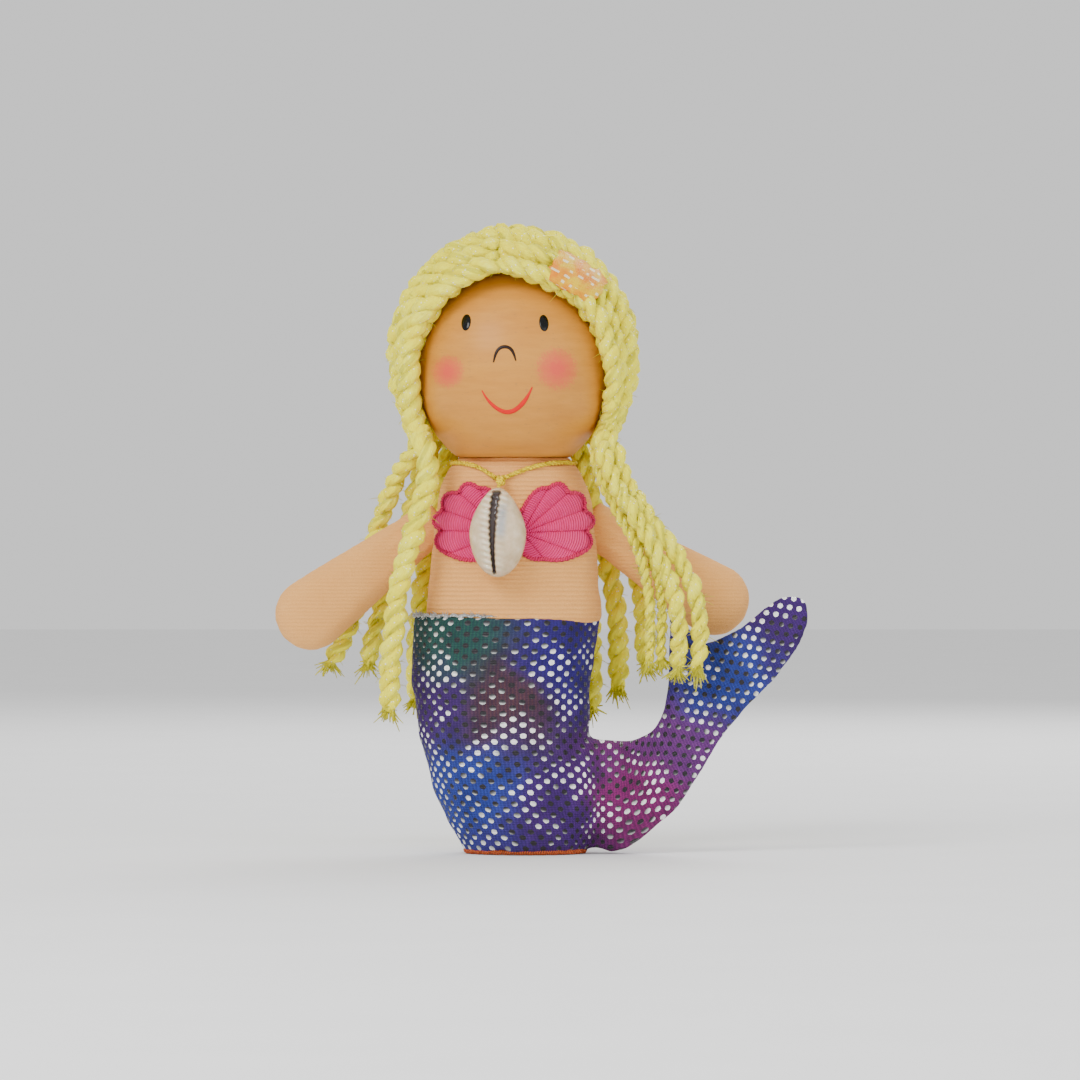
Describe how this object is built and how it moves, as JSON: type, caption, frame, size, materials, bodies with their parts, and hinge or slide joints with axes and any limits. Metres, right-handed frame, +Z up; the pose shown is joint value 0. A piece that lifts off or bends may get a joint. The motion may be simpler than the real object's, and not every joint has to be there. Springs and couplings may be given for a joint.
{
  "type": "finger puppet",
  "caption": "Mermaid finger puppet: turned wooden head on a soft knit torso, yarn hair, stuffed paddle arms and a curled fabric tail open at the bottom for a finger.",
  "frame": {"origin": "centre of the finger opening at the lower edge of the tail", "axes": "+Z up the finger pocket to the head; the puppet faces -Y; +X is the viewer's right, towards the tail fluke"},
  "size_m": [0.1139, 0.0466, 0.1325],
  "materials": {
    "wood": "satin varnish",
    "black_paint": "gloss paint",
    "red_paint": "gloss paint",
    "torso_knit": "fine rib knit",
    "arm_fleece": "brushed knit",
    "foil_jersey": "tie-dyed jersey with foil dots",
    "orange_thread": "overlock stitch",
    "silver_edge": "raw foil edge",
    "yarn": "twisted slub yarn",
    "patch_organza": "metallic weave",
    "pink_embroidery": "satin stitch",
    "yellow_thread": "twisted thread",
    "shell": "natural gloss",
    "wadding": "polyester wadding",
    "lining": "plain woven lining"
  },
  "bodies": {
    "tail": {"tail_front_panel": "foil_jersey", "tail_back_panel": "foil_jersey", "finger_pocket_lining": "lining", "tail_stuffing": "wadding", "hem_overlock": "orange_thread", "waist_raw_edge": "silver_edge", "tail_bend_stuffing": "wadding"},
    "tail_end": {"fluke_front_panel": "foil_jersey", "fluke_back_panel": "foil_jersey", "fluke_stuffing": "wadding"},
    "torso": {"torso_cover": "torso_knit", "finger_pocket_upper": "lining", "torso_stuffing": "wadding", "finger_pocket_tip": "lining", "bra_shell_left": "pink_embroidery", "bra_shell_right": "pink_embroidery", "necklace_thread": "yellow_thread", "hair_roots_left": "yarn", "hair_roots_right": "yarn", "hair_roots_back": "yarn"},
    "head": {"head_ball": "wood", "eye_left": "black_paint", "eye_right": "black_paint", "nose": "black_paint", "smile": "red_paint", "hair_crown_left": "yarn", "hair_crown_right": "yarn", "hair_patch": "patch_organza"},
    "arm_left": {"arm_left_cover": "arm_fleece", "arm_left_stuffing": "wadding"},
    "arm_right": {"arm_right_cover": "arm_fleece", "arm_right_stuffing": "wadding"},
    "pendant_thread": {"pendant_knot": "yellow_thread"},
    "pendant": {"cowrie_shell": "shell"},
    "hair_left": {"lock_left_front": "yarn"},
    "hair_right": {"lock_right_outer": "yarn", "lock_right_inner": "yarn", "lock_right_ply_left": "yarn", "lock_right_ply_right": "yarn"},
    "hair_back": {"lock_back_far_left": "yarn", "lock_back_left": "yarn", "lock_back_mid_left": "yarn", "lock_back_1": "yarn", "lock_back_2": "yarn", "lock_back_3": "yarn", "lock_back_4": "yarn", "lock_back_mid_right": "yarn", "lock_back_right": "yarn", "lock_back_far_right": "yarn"}
  },
  "joints": [
    {"name": "waist_bend", "type": "hinge", "parent": "tail", "child": "torso", "pos_m": [0, -0.0113, 0.0502], "axis": [1, 0, 0], "range_deg": [0, 20]},
    {"name": "head_turn", "type": "hinge", "parent": "torso", "child": "head", "pos_m": [0, 0, 0.083], "axis": [0, 0, 1], "range_deg": [-20, 20], "deforming": ["hair_roots_left", "hair_roots_right", "hair_roots_back"]},
    {"name": "arm_left_raise", "type": "hinge", "parent": "torso", "child": "arm_left", "pos_m": [-0.0226, 0.005, 0.0653], "axis": [0, 1, 0], "range_deg": [-12, 50]},
    {"name": "arm_right_raise", "type": "hinge", "parent": "torso", "child": "arm_right", "pos_m": [0.0226, 0.005, 0.0653], "axis": [0, -1, 0], "range_deg": [-12, 50]},
    {"name": "tail_curl", "type": "hinge", "parent": "tail", "child": "tail_end", "pos_m": [0.0185, 0, 0.012], "axis": [0, 1, 0], "range_deg": [-10, 25], "deforming": ["tail_bend_stuffing"]},
    {"name": "pendant_swing", "type": "hinge", "parent": "torso", "child": "pendant_thread", "pos_m": [-0.0027, -0.0126, 0.0779], "axis": [0, 1, 0], "range_deg": [-20, 20]},
    {"name": "pendant_lift", "type": "hinge", "parent": "pendant_thread", "child": "pendant", "pos_m": [-0.0027, -0.0132, 0.0772], "axis": [-1, 0, 0], "range_deg": [0, 40]},
    {"name": "hair_left_swing", "type": "hinge", "parent": "torso", "child": "hair_left", "pos_m": [-0.0184, -0.0108, 0.076], "axis": [-1, 0, 0], "range_deg": [0, 25]},
    {"name": "hair_right_swing", "type": "hinge", "parent": "torso", "child": "hair_right", "pos_m": [0.0224, -0.0106, 0.076], "axis": [-1, 0, 0], "range_deg": [0, 25]},
    {"name": "hair_back_swing", "type": "hinge", "parent": "torso", "child": "hair_back", "pos_m": [0, 0.0125, 0.076], "axis": [1, 0, 0], "range_deg": [0, 30]}
  ]
}
